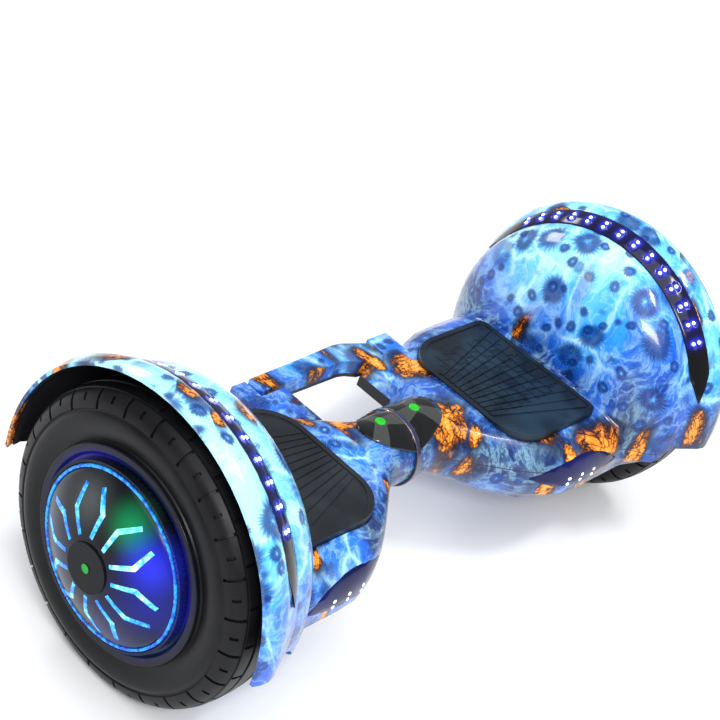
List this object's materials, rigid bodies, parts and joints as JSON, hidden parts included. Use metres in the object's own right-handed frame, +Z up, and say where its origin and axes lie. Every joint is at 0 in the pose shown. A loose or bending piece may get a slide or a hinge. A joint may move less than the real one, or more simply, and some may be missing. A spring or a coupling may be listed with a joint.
{
  "type": "self balancing board",
  "caption": "Self balancing two wheeled board: two twisting halves with ribbed foot pads, tall lit wheel arches, domed lit hubs and a carrying handle behind the centre pivot.",
  "frame": {"origin": "on the ground, half way between the wheels, under the centre pivot", "axes": "+X along the axles to the right half, +Y to the back (the handle's side), +Z up"},
  "size_m": [0.685, 0.2958, 0.275],
  "materials": {
    "printed_shell": "glossy film print under clear coat",
    "matte_black": "textured",
    "gloss_black": "polished",
    "white_light": "lit diffuser",
    "lens_blue": "tinted clear",
    "circuit_board": "solder mask",
    "pad_rubber": "ribbed",
    "cast_alloy": "as cast",
    "steel": "machined",
    "winding": "enamelled copper",
    "tyre_rubber": "matt",
    "dark_alloy": "anodised black",
    "hub_dark": "tinted, polished",
    "orange_ring": "polished",
    "bush_plastic": "natural",
    "battery_wrap": "heat shrink film",
    "cap_rubber": "matt",
    "button_plastic": "polished"
  },
  "bodies": {
    "left_half": {"left_upper_shell": "printed_shell", "left_lower_shell": "printed_shell", "left_arch_liner": "matte_black", "left_light_band": "gloss_black", "left_band_lights": "white_light", "left_headlight_lens": "lens_blue", "left_headlight_board": "circuit_board", "left_pivot_cover": "gloss_black", "left_indicator_window": "white_light", "left_chassis": "cast_alloy", "left_axle_clamp": "cast_alloy", "left_axle": "steel", "left_stator": "winding", "left_sensor_board": "circuit_board", "left_shell_screws": "steel", "left_handle_bracket": "printed_shell", "left_handle_pin": "steel", "pivot_tube": "steel", "pivot_ring": "orange_ring", "main_board": "circuit_board", "charge_socket": "matte_black"},
    "right_half": {"right_upper_shell": "printed_shell", "right_lower_shell": "printed_shell", "right_arch_liner": "matte_black", "right_light_band": "gloss_black", "right_band_lights": "white_light", "right_headlight_lens": "lens_blue", "right_headlight_board": "circuit_board", "right_pivot_cover": "gloss_black", "right_indicator_window": "white_light", "right_chassis": "cast_alloy", "right_axle_clamp": "cast_alloy", "right_axle": "steel", "right_stator": "winding", "right_sensor_board": "circuit_board", "right_shell_screws": "steel", "right_handle_bracket": "printed_shell", "right_handle_pin": "steel", "pivot_bushes": "bush_plastic", "battery_pack": "battery_wrap"},
    "left_wheel": {"left_tyre": "tyre_rubber", "left_rim": "dark_alloy", "left_motor_cover": "dark_alloy", "left_hub_cover": "hub_dark", "left_light_guide": "white_light", "left_hub_cap": "hub_dark", "left_wheel_bearings": "steel"},
    "right_wheel": {"right_tyre": "tyre_rubber", "right_rim": "dark_alloy", "right_motor_cover": "dark_alloy", "right_hub_cover": "hub_dark", "right_light_guide": "white_light", "right_hub_cap": "hub_dark", "right_wheel_bearings": "steel"},
    "left_pad": {"left_foot_pad": "pad_rubber"},
    "right_pad": {"right_foot_pad": "pad_rubber"},
    "handle": {"handle_bar": "printed_shell"},
    "button": {"power_button": "button_plastic"},
    "cap": {"charge_cap": "cap_rubber"}
  },
  "joints": [
    {"name": "twist", "type": "hinge", "parent": "left_half", "child": "right_half", "pos_m": [0, 0, 0.114], "axis": [1, 0, 0], "range_deg": [-12, 12]},
    {"name": "left_wheel_spin", "type": "hinge", "parent": "left_half", "child": "left_wheel", "pos_m": [-0.282, 0, 0.127], "axis": [1, 0, 0], "continuous": true},
    {"name": "right_wheel_spin", "type": "hinge", "parent": "right_half", "child": "right_wheel", "pos_m": [0.282, 0, 0.127], "axis": [1, 0, 0], "continuous": true},
    {"name": "handle_tilt", "type": "hinge", "parent": "right_half", "child": "handle", "pos_m": [0.062, 0.101, 0.124], "axis": [0, 1, 0], "range_deg": [-10, 10]},
    {"name": "left_pad_press", "type": "slide", "parent": "left_half", "child": "left_pad", "axis": [0, 0, -1], "range_m": [0, 0.0015], "stiffness_N_per_m": 20000},
    {"name": "right_pad_press", "type": "slide", "parent": "right_half", "child": "right_pad", "axis": [0, 0, -1], "range_m": [0, 0.0015], "stiffness_N_per_m": 20000},
    {"name": "power_button_press", "type": "slide", "parent": "left_half", "child": "button", "axis": [0, -1, 0], "range_m": [0, 0.0012], "stiffness_N_per_m": 800},
    {"name": "charge_cap_hinge", "type": "hinge", "parent": "left_half", "child": "cap", "pos_m": [-0.165, 0.1092, 0.1048], "axis": [1, 0, 0], "range_deg": [0, 110]}
  ],
  "couplings": [
    {"joint": "handle_tilt", "follows": "twist", "ratio": -0.77}
  ]
}
